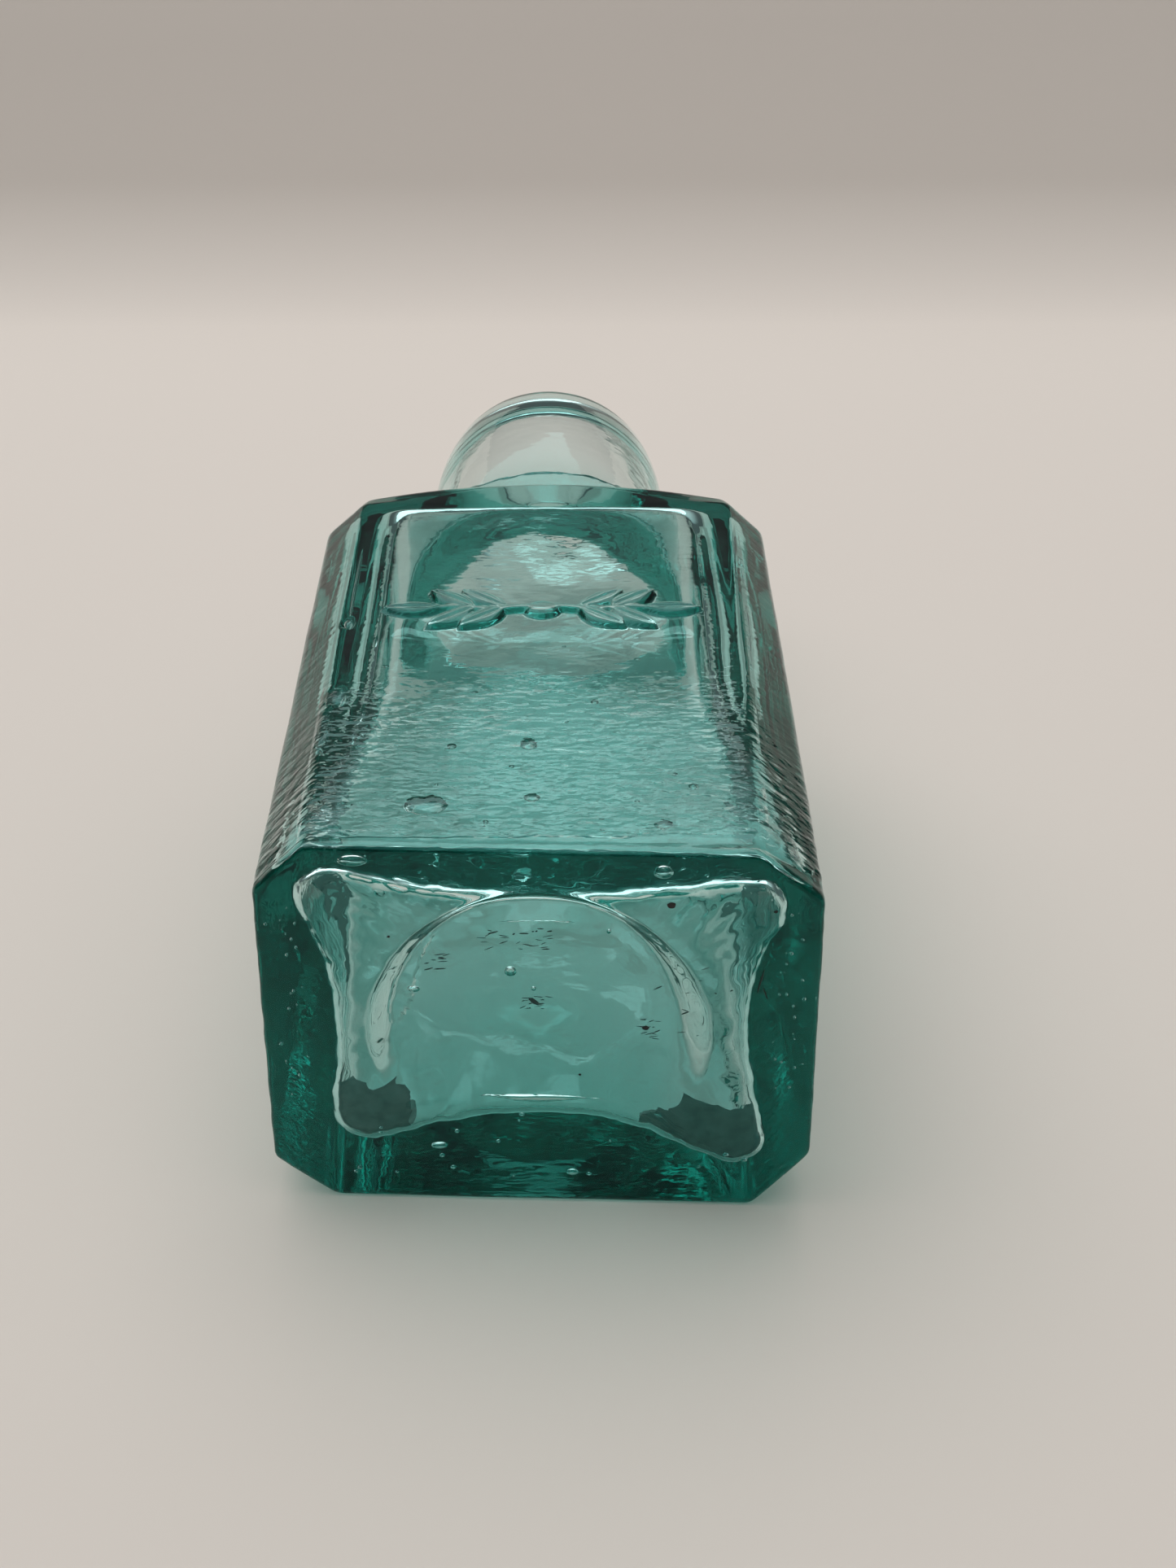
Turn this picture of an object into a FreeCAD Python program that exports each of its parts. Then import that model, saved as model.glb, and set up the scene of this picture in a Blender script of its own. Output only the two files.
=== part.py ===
import FreeCAD, Part

import math
import os

# Mould-blown glass ink bottle in one piece, lying on its plain broad side.
# Millimetres. +Z is up, the bottle's length runs along Y, the base faces -Y and the mouth +Y.
# The origin is the middle of the bottle's footprint, on the surface that it lies on.

# Body: a rectangle with cut corners, whose cuts narrow from the heel to the shoulder.
# The base stands a few degrees out of square, so that the right side is the longest.
BODY_WIDTH = 44.0
BODY_DEPTH = 34.2
BODY_LENGTH = 74.6
BASE_SKEW = 2.47
HEEL_CUT = 4.8
SHOULDER_CUT = 3.8
CUT_SLOPE = 0.91
ARRIS_RADIUS = 0.9

# Shoulder: a shallow dome that falls from the neck out to the body's corners
SHOULDER_DOME_RADIUS = 53.0

# Neck: set in from the broad sides, straight, then drawn in a little to a plain sheared lip.
# The bore is narrowest at the lip, where the cork sits, and flares to a thin wall behind it.
NECK_LENGTH = 36.4
NECK_SET_IN = 3.6
NECK_WALL = 2.1
NECK_ROOT_LAND = 0.1
LIP_DRAWN_IN = 1.25
LIP_TAPER_LENGTH = 10.0
LIP_ROUND = 0.9
LIP_BORE_NARROWED = 2.2
LIP_BORE_LENGTH = 5.0
LIP_BORE_FLARE = 5.0

# Round recess pressed into the base, set in from the broad sides
RECESS_SET_IN = 3.8
RECESS_DEPTH = 1.1
RECESS_LOWERED = 0.4
RECESS_ROUND = 0.6

# Inside: corners pushed out, walls thickest at mid face, a crowned floor, a funnel to the bore
SIDE_WALL = 5.2
FACE_WALL = 4.6
SHOULDER_WALL = 1.9
FLOOR_AT_CORNERS = 5.0
FLOOR_CROWN = 4.0
FLOOR_CROWN_RADIUS = 18.0
CAVITY_CORNER_RADIUS = 4.2
CAVITY_BOW = 1.2
CAVITY_FLOOR_ROUND = 2.6
CAVITY_SHOULDER_ROUND = 3.0
FUNNEL_ROUND = 1.2

# Two leafy twigs either side of a berry, raised on the upper broad side
RELIEF_HEIGHT = 0.6
SPRIG_FROM_HEEL = 42.0
BERRY_RADIUS = 1.7
TWIG_LENGTH = 8.4
TWIG_WIDTH = 1.2
LEAF_LENGTH = 5.6
LEAF_WIDTH = 2.6
LEAF_TILT = 42.0
LEAF_PAIRS = 2

# How far a cutting or joining shape runs past the face that it crosses
OVERRUN = 1.0

# Places that follow from the sizes above
TOTAL_LENGTH = BODY_LENGTH + NECK_LENGTH
AXIS_HEIGHT = BODY_DEPTH / 2
NECK_RADIUS = BODY_DEPTH / 2 - NECK_SET_IN
NECK_ROOT_ROUND = NECK_SET_IN - ARRIS_RADIUS - NECK_ROOT_LAND
LIP_RADIUS = NECK_RADIUS - LIP_DRAWN_IN
NECK_BORE_RADIUS = NECK_RADIUS - NECK_WALL
LIP_BORE_RADIUS = NECK_BORE_RADIUS - LIP_BORE_NARROWED
RECESS_RADIUS = BODY_DEPTH / 2 - RECESS_SET_IN
HEEL_Y = -TOTAL_LENGTH / 2
BASE_MIDDLE_Y = HEEL_Y + math.tan(math.radians(BASE_SKEW)) * BODY_WIDTH / 2
SHOULDER_Y = HEEL_Y + BODY_LENGTH
LIP_Y = SHOULDER_Y + NECK_LENGTH
FLOOR_Y = HEEL_Y + FLOOR_AT_CORNERS
DOME_CENTRE_Y = SHOULDER_Y - SHOULDER_DOME_RADIUS
CAVITY_HALF_WIDTH = BODY_WIDTH / 2 - SIDE_WALL
CAVITY_HALF_DEPTH = BODY_DEPTH / 2 - FACE_WALL
ALONG = FreeCAD.Vector(0, 1, 0)
UP = FreeCAD.Vector(0, 0, 1)
INTO_BASE = FreeCAD.Vector(math.sin(math.radians(BASE_SKEW)), math.cos(math.radians(BASE_SKEW)), 0)


def dome_y(reach):
    # Where the shoulder's dome lies at a distance from the bottle's axis
    return DOME_CENTRE_Y + math.sqrt(SHOULDER_DOME_RADIUS ** 2 - reach ** 2)


NECK_ROOT_Y = dome_y(NECK_RADIUS)
CAVITY_END_Y = dome_y(math.hypot(CAVITY_HALF_WIDTH, CAVITY_HALF_DEPTH)) - SHOULDER_WALL


def at(x, y, up):
    # A point given by its distance from the bottle's axis, sideways and upwards
    return FreeCAD.Vector(x, y, AXIS_HEIGHT + up)


def arc(start, middle, end):
    return Part.Arc(start, middle, end).toShape()


def runs(points):
    # Straight edges through points given as (place along the bottle, distance from its axis)
    return [Part.makeLine(at(0, *a), at(0, *b)) for a, b in zip(points, points[1:])]


def turned(profile):
    # Turns a closed profile of edges round the bottle's axis
    return Part.Face(Part.Wire(profile)).revolve(at(0, 0, 0), ALONG, 360)


def edges_near(shape, y, reach):
    # The edges that lie wholly within a reach of one place along the bottle
    return [e for e in shape.Edges if e.BoundBox.YMin > y - reach and e.BoundBox.YMax < y + reach]


def round_edges(edges, radius):
    # Of the edges given, those that go all the way round a circle of about this radius
    def is_round(box):
        return all(abs(length / 2 - radius) < OVERRUN / 2 for length in (box.XLength, box.ZLength))

    return [e for e in edges if is_round(e.BoundBox)]


def corners(cut, y):
    # The eight corners of a section across the body, in order round it
    inner_width = BODY_WIDTH / 2 - cut
    inner_depth = BODY_DEPTH / 2 - cut * CUT_SLOPE
    quarter = [(BODY_WIDTH / 2, inner_depth), (inner_width, BODY_DEPTH / 2)]
    around = quarter
    around = around + [(-x, up) for x, up in reversed(quarter)]
    around = around + [(-x, -up) for x, up in quarter]
    around = around + [(x, -up) for x, up in reversed(quarter)]
    return [at(x, y, up) for x, up in around]


def beyond_base():
    # All that lies beyond the base's plane, as far as the body reaches
    side = 2 * BODY_WIDTH
    cutter = Part.makeBox(side, side, side, FreeCAD.Vector(-side / 2, -side, -side / 2))
    cutter.rotate(FreeCAD.Vector(0, 0, 0), UP, -BASE_SKEW)
    cutter.translate(at(0, BASE_MIDDLE_Y, 0))
    return cutter


def body():
    heel = corners(HEEL_CUT, HEEL_Y)
    shoulder = corners(SHOULDER_CUT, SHOULDER_Y)
    sides = [[heel[i - 1], heel[i], shoulder[i], shoulder[i - 1]] for i in range(len(heel))]
    faces = [Part.Face(Part.makePolygon(loop + loop[:1])) for loop in [heel, shoulder] + sides]
    dome = Part.makeSphere(SHOULDER_DOME_RADIUS, at(0, DOME_CENTRE_Y, 0))
    block = Part.makeSolid(Part.makeShell(faces)).common(dome).cut(beyond_base())
    return block.makeFillet(ARRIS_RADIUS, block.Edges)


def neck():
    # Starts inside the body, so that the two join along the dome
    root_y = CAVITY_END_Y
    taper_y = LIP_Y - LIP_TAPER_LENGTH
    middle_radius = NECK_RADIUS - (NECK_RADIUS - LIP_RADIUS) / 4
    middle = at(0, LIP_Y - LIP_TAPER_LENGTH / 2, middle_radius)
    profile = runs([(root_y, 0), (root_y, NECK_RADIUS), (taper_y, NECK_RADIUS)])
    profile.append(arc(at(0, taper_y, NECK_RADIUS), middle, at(0, LIP_Y, LIP_RADIUS)))
    profile += runs([(LIP_Y, LIP_RADIUS), (LIP_Y, 0), (root_y, 0)])
    return turned(profile)


def outside():
    bottle = body().fuse(neck())
    root = round_edges(edges_near(bottle, NECK_ROOT_Y, OVERRUN), NECK_RADIUS)
    bottle = bottle.makeFillet(NECK_ROOT_ROUND, root)
    foot = at(0, BASE_MIDDLE_Y, -RECESS_LOWERED) - INTO_BASE * OVERRUN
    recess = Part.makeCylinder(RECESS_RADIUS, RECESS_DEPTH + OVERRUN, foot, INTO_BASE)
    bottle = bottle.cut(recess)
    tilt = RECESS_RADIUS * INTO_BASE.x
    rim = round_edges(edges_near(bottle, BASE_MIDDLE_Y, tilt + RECESS_DEPTH / 4), RECESS_RADIUS)
    return bottle.makeFillet(RECESS_ROUND, rim)


def cavity_section(y):
    # The cavity's outline: rounded corners joined smoothly by arcs that bow towards the axis
    radius = CAVITY_CORNER_RADIUS
    corner_x = CAVITY_HALF_WIDTH + CAVITY_BOW - radius
    corner_up = CAVITY_HALF_DEPTH + CAVITY_BOW - radius
    side_centre = corner_x + (corner_up ** 2 + CAVITY_BOW ** 2) / (2 * CAVITY_BOW) - CAVITY_BOW
    face_centre = corner_up + (corner_x ** 2 + CAVITY_BOW ** 2) / (2 * CAVITY_BOW) - CAVITY_BOW
    low = -math.atan2(corner_up, side_centre - corner_x)
    high = math.pi / 2 + math.atan2(corner_x, face_centre - corner_up)

    def rounding(angle, sign_x, sign_up):
        x = corner_x + radius * math.cos(angle)
        up = corner_up + radius * math.sin(angle)
        return at(sign_x * x, y, sign_up * up)

    edges = []
    for sign_x, sign_up in ((1, 1), (-1, 1), (-1, -1), (1, -1)):
        edges.append(arc(*[rounding(a, sign_x, sign_up) for a in (low, (low + high) / 2, high)]))
    for sign in (1, -1):
        across = at(0, y, sign * CAVITY_HALF_DEPTH)
        beside = at(sign * CAVITY_HALF_WIDTH, y, 0)
        edges.append(arc(rounding(high, 1, sign), across, rounding(high, -1, sign)))
        edges.append(arc(rounding(low, sign, 1), beside, rounding(low, sign, -1)))
    return Part.Wire(Part.__sortEdges__(edges))


def floor_crown():
    # The ball whose cap is the rise in the middle of the cavity's floor
    ball_radius = (FLOOR_CROWN_RADIUS ** 2 + FLOOR_CROWN ** 2) / (2 * FLOOR_CROWN)
    return Part.makeSphere(ball_radius, at(0, FLOOR_Y + FLOOR_CROWN - ball_radius, 0))


def bore():
    # The hole through the neck, from the lip's straight bore to a rounded funnel at the cavity
    foot_y = CAVITY_END_Y - OVERRUN
    neck_y = CAVITY_END_Y + FUNNEL_ROUND
    lip_bore_y = LIP_Y - LIP_BORE_LENGTH
    mouth_y = LIP_Y + OVERRUN
    funnel_radius = NECK_BORE_RADIUS + FUNNEL_ROUND
    slant = FUNNEL_ROUND * math.sqrt(0.5)
    middle = at(0, neck_y - slant, funnel_radius - slant)
    profile = runs([(foot_y, 0), (foot_y, funnel_radius), (CAVITY_END_Y, funnel_radius)])
    profile.append(arc(at(0, CAVITY_END_Y, funnel_radius), middle, at(0, neck_y, NECK_BORE_RADIUS)))
    profile += runs([
        (neck_y, NECK_BORE_RADIUS), (lip_bore_y - LIP_BORE_FLARE, NECK_BORE_RADIUS),
        (lip_bore_y, LIP_BORE_RADIUS), (mouth_y, LIP_BORE_RADIUS), (mouth_y, 0), (foot_y, 0),
    ])
    return turned(profile)


def inside():
    cavity = Part.Face(cavity_section(FLOOR_Y)).extrude(ALONG * (CAVITY_END_Y - FLOOR_Y))
    cavity = cavity.makeFillet(CAVITY_FLOOR_ROUND, edges_near(cavity, FLOOR_Y, OVERRUN))
    cavity = cavity.makeFillet(CAVITY_SHOULDER_ROUND, edges_near(cavity, CAVITY_END_Y, OVERRUN))
    return cavity.cut(floor_crown()).fuse(bore())


def leaf(turn):
    # One leaf: a pointed oval that starts at the origin
    start = FreeCAD.Vector(0, 0, 0)
    tip = FreeCAD.Vector(LEAF_LENGTH, 0, 0)
    bulges = [FreeCAD.Vector(LEAF_LENGTH / 2, side * LEAF_WIDTH / 2, 0) for side in (1, -1)]
    sides = [arc(start, bulge, tip) for bulge in bulges]
    blade = Part.Face(Part.Wire(Part.__sortEdges__(sides)))
    blade.rotate(start, UP, turn)
    return blade


def twig():
    # Runs along +X from the middle of the berry
    length = BERRY_RADIUS + TWIG_LENGTH
    pieces = [Part.makePlane(length, TWIG_WIDTH, FreeCAD.Vector(0, -TWIG_WIDTH / 2, 0))]
    for i in range(LEAF_PAIRS + 1):
        x = BERRY_RADIUS + TWIG_LENGTH * (i + 1) / (LEAF_PAIRS + 1) - TWIG_WIDTH
        for turn in (LEAF_TILT, -LEAF_TILT) if i < LEAF_PAIRS else (0,):
            blade = leaf(turn)
            blade.translate(FreeCAD.Vector(x, 0, 0))
            pieces.append(blade)
    return pieces


def sprig():
    left = [piece.mirror(FreeCAD.Vector(0, 0, 0), FreeCAD.Vector(1, 0, 0)) for piece in twig()]
    berry = Part.Face(Part.Wire(Part.makeCircle(BERRY_RADIUS)))
    outline = berry.fuse(twig() + left).removeSplitter()
    sink = FACE_WALL / 4
    outline.translate(FreeCAD.Vector(0, HEEL_Y + SPRIG_FROM_HEEL, BODY_DEPTH - sink))
    return outline.extrude(UP * (sink + RELIEF_HEIGHT))


bottle = outside().cut(inside())
bottle = bottle.makeFillet(LIP_ROUND, edges_near(bottle, LIP_Y, OVERRUN / 2))
bottle = bottle.fuse(sprig()).removeSplitter()
print("valid:", bottle.isValid(), "solids:", len(bottle.Solids), "volume in mm3:", round(bottle.Volume))

os.makedirs("parts", exist_ok=True)
bottle.exportStep("parts/bottle.step")
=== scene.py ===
import math
import random

import bmesh
import bpy
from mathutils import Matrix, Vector, noise


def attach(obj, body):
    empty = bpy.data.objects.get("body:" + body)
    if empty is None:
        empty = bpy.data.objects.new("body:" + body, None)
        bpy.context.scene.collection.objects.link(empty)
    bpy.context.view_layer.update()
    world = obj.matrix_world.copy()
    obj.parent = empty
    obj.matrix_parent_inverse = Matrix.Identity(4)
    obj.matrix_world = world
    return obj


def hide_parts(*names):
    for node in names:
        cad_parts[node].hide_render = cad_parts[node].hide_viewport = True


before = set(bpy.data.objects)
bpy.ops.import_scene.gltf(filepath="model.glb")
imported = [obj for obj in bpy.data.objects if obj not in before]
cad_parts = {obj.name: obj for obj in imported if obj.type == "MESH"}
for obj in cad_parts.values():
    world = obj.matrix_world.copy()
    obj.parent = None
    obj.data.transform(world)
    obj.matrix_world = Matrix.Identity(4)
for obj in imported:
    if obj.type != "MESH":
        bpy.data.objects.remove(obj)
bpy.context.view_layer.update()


# general helpers

def hexColour(text):  # sRGB hex to the linear colour that Blender works in
    channels = [int(text[i:i + 2], 16) / 255 for i in (1, 3, 5)]
    linear = [c / 12.92 if c <= 0.04045 else ((c + 0.055) / 1.055) ** 2.4 for c in channels]
    return (*linear, 1.0)


def addNode(tree, kind, settings=None, links=None):  # one node, its settings and what feeds it
    node = tree.nodes.new(kind)
    for name, value in (settings or {}).items():
        if name in node.inputs:
            node.inputs[name].default_value = value
        else:
            setattr(node, name, value)
    for name, source in (links or {}).items():
        tree.links.new(source, node.inputs[name])
    return node


def newMaterial(name):
    material = bpy.data.materials.new(name)
    material.use_nodes = True
    material.node_tree.nodes.clear()
    return material, material.node_tree


def objectMode():
    if bpy.context.object and bpy.context.object.mode != "OBJECT":
        bpy.ops.object.mode_set(mode="OBJECT")
    bpy.ops.object.select_all(action="DESELECT")


def nameIt(name):
    piece = bpy.context.object
    piece.name = name
    piece.data.name = name
    return piece


def smoothStep(low, high, value):
    t = min(1.0, max(0.0, (value - low) / (high - low)))
    return t * t * (3 - 2 * t)


def blend(a, b, t):
    return a + (b - a) * t


objectMode()


# camera, as far as the photograph's edges tell

cameraPlace = {
    "lens": 52.0, "sensor": 36.0, "nearest": 0.005,
    "at": (0.0028, -0.1987, 0.1241), "tilt": 59.72, "turn": -0.417,
}

cameraData = bpy.data.cameras.new("camera")
cameraData.lens = cameraPlace["lens"]
cameraData.sensor_width = cameraPlace["sensor"]
cameraData.clip_start = cameraPlace["nearest"]
camera = bpy.data.objects.new("camera", cameraData)
bpy.context.scene.collection.objects.link(camera)
camera.location = cameraPlace["at"]
camera.rotation_euler = (math.radians(cameraPlace["tilt"]), 0, math.radians(cameraPlace["turn"]))
bpy.context.scene.camera = camera
print("camera placed")


# the bottle's sizes in millimetres, from its axis: x to the right, y towards the mouth, z up

bottle = {
    "stations": 64,          # points round each ring of the cage
    "axisHeight": 17.1,
    "halfWidth": 21.97,
    "halfDepth": 17.08,
    "heelY": -54.53,         # the base's plane on the axis
    "baseSkew": 0.0432,      # the base stands this much out of square, nearer on the right
    "heelCuts": [(5.2, 4.0), (4.7, 5.4), (5.0, 3.9), (4.2, 4.2)],      # corner cuts, clockwise from top right
    "shoulderCuts": [(3.7, 3.4), (3.9, 3.6), (3.8, 3.5), (3.9, 3.5)],
    "arris": 1.0,
    "creaseY": 11.1,         # here the flat sides end and the shoulder starts to lean in
    "shoulderLean": 0.5,
    "leanRings": (0.3, 0.84, 1.0),      # share of the way up the lean
    "domeRadius": 44.0,
    "domeTopY": 20.6,
    "domeRings": (0.25, 0.7),           # share of the way from the shoulder's edge to the neck's root
    "recessRadius": 13.3,
    "recessDepth": 1.45,
    "recessShares": (0.06, 1.1),        # of that depth, by its lower and by its upper side
    "recessFades": (-11, 2),            # between these heights the one goes over into the other
    "recessLowered": 0.4,
    "recessRings": [         # from the circle, share of the depth, share of the pull towards the middle
        (-3.0, 1.0, 1.0), (-1.75, 1.0, 1.0), (-1.15, 1.1, 0.7), (-0.75, 0.9, 0.4), (-0.1, 0.16, 0.1),
        (0.3, -0.05, 0.0), (0.9, 0.0, 0.0),
    ],
    "recessPull": (0.16, 0.06),    # how far the recess's floor is drawn in from the right and from the left
    "rimRing": (2.0, 1.6, 0.7),    # out from the circle, in from the outline, share of the way between them
    "bodyRings": [1.0, 1.6, 2.2, 7, 14, 21, 28, 35, 38.7, 42.3, 46, 53, 60, 64.6],    # from the base's plane
    "seam": 0.06,            # the mould's base plate leaves a shallow groove round the second of them
    "neckRadius": 13.5,
    "neckRootRound": 1.7,
    "neckRootTurns": (0, 30, 62, 90),
    "neckRings": [(27.0, 13.5), (43.0, 13.5), (49.0, 13.4), (53.5, 12.85)],    # y, radius
    "lipY": 55.38,
    "lipRings": [            # from the lip's plane, radius: round the lip and past the bore
        (-0.6, 12.55), (-0.15, 12.4), (0.0, 12.0), (0.0, 10.3), (-0.25, 9.6), (-0.9, 9.3), (-2.6, 9.3),
        (-5.2, 10.6), (-7.6, 11.25), (-11.0, 11.4),
    ],
    "neckBore": 11.4,
    "rootBore": 8.8,
    "boreRings": [(34.0, 1.0), (29.5, 0.55), (26.0, 0.1)],    # y, share of the way from the root's bore
    "cavityEndY": 14.5,      # the cavity's end arches less than the shoulder outside
    "cavityEndRadius": 120.0,
    "cavityEdge": (0, 12),   # points of the end's edge, by a flat side and in a corner
    "cavityCorner": (17, 13),
    "funnelRings": [         # share of the way from the bore out to the edge, height over the cavity's end
        (0.0, 3.0), (0.03, 1.6), (0.1, 0.7), (0.2, 0.22), (0.36, 0.03), (0.7, 0.0),
    ],
    "cavityEdgeRings": [(0.35, 0.08), (0.08, 0.4), (0.0, 1.1)],    # in from the wall, under the end
    "wallRings": 7,
    "wallsFromFloor": 3.2,
    "floorY": -51.15,
    "floorEdgeHeight": 2.2,
    "floorEdgeRings": [(0.15, 1.0), (0.5, 0.4), (1.2, 0.08)],    # in from the wall, over the floor
    "floorInset": 3.0,
    "floorCircle": 9.0,
    "floorRings": (0.25, 0.6),          # share of the way from the inset outline to the circle
    "crown": 0.4,
    "crownRadius": 18.0,
    "subdivisions": 2,
}


def heelAt(x):
    return bottle["heelY"] - bottle["baseSkew"] * x


def recessAt(x, z):  # how deep the base is let in at a point: shallower towards the lower side
    return bottle["recessDepth"] * blend(*bottle["recessShares"], smoothStep(*bottle["recessFades"], z))


def drawnIn(points, share):  # pulls a ring of the recess in at both sides
    right, left = bottle["recessPull"]
    reach = bottle["recessRadius"]
    return [(x * (1 - share * (right if x > 0 else left) * abs(x) / reach), z) for x, z in points]


def domeAt(x, z):
    reach = x * x + z * z
    radius = bottle["domeRadius"]
    return bottle["domeTopY"] - radius + math.sqrt(radius * radius - reach)


def cavityEndAt(x, z):
    radius = bottle["cavityEndRadius"]
    return bottle["cavityEndY"] - radius + math.sqrt(radius * radius - x * x - z * z)


def floorAt(x, z):  # the cavity's floor, crowned in the middle
    ball = (bottle["crownRadius"] ** 2 + bottle["crown"] ** 2) / (2 * bottle["crown"])
    reach = x * x + z * z
    return bottle["floorY"] + bottle["crown"] - ball + math.sqrt(ball * ball - reach)


def circle(radius, lowered=0.0):
    count = bottle["stations"]
    turns = [2 * math.pi * i / count for i in range(count)]
    return [(radius * math.sin(a), radius * math.cos(a) - lowered) for a in turns]


def cutCornered(cuts, inset=0.0):  # eight straight sides, with a point close to each side of every corner
    wide = bottle["halfWidth"] - inset
    deep = bottle["halfDepth"] - inset
    shrink = inset * (2 - math.sqrt(2))
    (ax, az), (bx, bz), (cx, cz), (dx, dz) = [(x - shrink, z - shrink) for x, z in cuts]
    corners = [
        (-wide + dx, deep), (wide - ax, deep), (wide, deep - az), (wide, -deep + bz),
        (wide - bx, -deep), (-wide + cx, -deep), (-wide, -deep + cz), (-wide, deep - dz),
    ]
    points = []
    for i, start in enumerate(corners):
        end = corners[(i + 1) % 8]
        length = math.dist(start, end)
        near = bottle["arris"] / length
        if i % 2:
            steps = [near, 0.5, 1 - near]
        else:
            steps = [near] + [blend(near, 1 - near, k / 10) for k in range(1, 10)] + [1 - near]
        points.append(start)
        points += [(blend(start[0], end[0], t), blend(start[1], end[1], t)) for t in steps]
    return points[6:] + points[:6]  # the first is the middle of the upper side


def pincushion(side, top, bottom, lobes, corner):
    # four rounded lobes, joined by arcs that bow towards the axis; side is (right, left) at mid height
    def quarter(flat, beside, lobe):
        # from the mid of the flat side to the mid of the upright side, in the first quadrant
        cx = lobe[0] - corner
        cz = lobe[1] - corner
        flatArc = (cx ** 2 + (flat - cz) ** 2 - corner ** 2) / (2 * (corner - (flat - cz)))
        sideArc = (cz ** 2 + (beside - cx) ** 2 - corner ** 2) / (2 * (corner - (beside - cx)))
        flatTurn = math.atan2(cx, flat + flatArc - cz)
        sideTurn = math.atan2(cz, beside + sideArc - cx)
        lengths = [flatArc * flatTurn, corner * (math.pi / 2 + flatTurn + sideTurn), sideArc * sideTurn]
        points = []
        for i in range(bottle["stations"] // 4):
            along = sum(lengths) * i * 4 / bottle["stations"]
            if along < lengths[0]:
                a = along / flatArc
                points.append((flatArc * math.sin(a), flat + flatArc - flatArc * math.cos(a)))
            elif along < lengths[0] + lengths[1]:
                a = -flatTurn + (along - lengths[0]) / corner
                points.append((cx + corner * math.sin(a), cz + corner * math.cos(a)))
            else:
                a = (sum(lengths) - along) / sideArc
                points.append((beside + sideArc - sideArc * math.cos(a), sideArc * math.sin(a)))
        return points

    right, left = side
    upperRight = quarter(top, right, lobes[0])
    lowerRight = quarter(bottom, right, lobes[1])
    lowerLeft = quarter(bottom, left, lobes[2])
    upperLeft = quarter(top, left, lobes[3])
    points = list(upperRight)
    points += [(right, 0.0)] + [(x, -z) for x, z in reversed(lowerRight[1:])]
    points += [(-x, -z) for x, z in lowerLeft]
    points += [(-left, 0.0)] + [(-x, z) for x, z in reversed(upperLeft[1:])]
    return points


def mix(first, second, t):
    return [(blend(a[0], b[0], t), blend(a[1], b[1], t)) for a, b in zip(first, second)]


# the cavity: by the floor its corners are pushed far out, further up it evens out

cavityByFloor = {
    "side": (17.0, 16.4), "top": 11.6, "bottom": 10.4, "corner": 3.0,
    "lobes": [(19.8, 13.4), (19.0, 15.2), (17.2, 12.7), (19.3, 14.2)],
    "evensOut": (-48, -26),         # between these two it goes over into the next one
}
cavityFurtherUp = {
    "side": (15.9, 15.7), "top": 12.7, "bottom": 13.1, "corner": 4.2,
    "lobes": [(17.6, 13.9), (17.2, 14.0), (17.2, 13.8), (17.4, 13.9)],
    "evensOut": (-12, 10),
    "middleY": -20,                 # here it is on its own
}
cavityByShoulder = {
    "side": (16.6, 16.6), "top": 12.8, "bottom": 12.4, "corner": 3.6,
    "lobes": [(17.2, 13.3), (17.2, 13.3), (17.2, 13.3), (17.2, 13.3)],
}
smallestCorner = 1.2


def cavityOutline(y, inset=0.0):
    if y < cavityFurtherUp["middleY"]:
        t = smoothStep(*cavityByFloor["evensOut"], y)
        low, high = cavityByFloor, cavityFurtherUp
    else:
        t = smoothStep(*cavityFurtherUp["evensOut"], y)
        low, high = cavityFurtherUp, cavityByShoulder
    side = tuple(blend(a, b, t) - inset for a, b in zip(low["side"], high["side"]))
    lobes = [
        (blend(a[0], b[0], t) - inset, blend(a[1], b[1], t) - inset)
        for a, b in zip(low["lobes"], high["lobes"])
    ]
    top = blend(low["top"], high["top"], t) - inset
    bottom = blend(low["bottom"], high["bottom"], t) - inset
    corner = max(smallestCorner, blend(low["corner"], high["corner"], t) - inset)
    return pincushion(side, top, bottom, lobes, corner)


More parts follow.
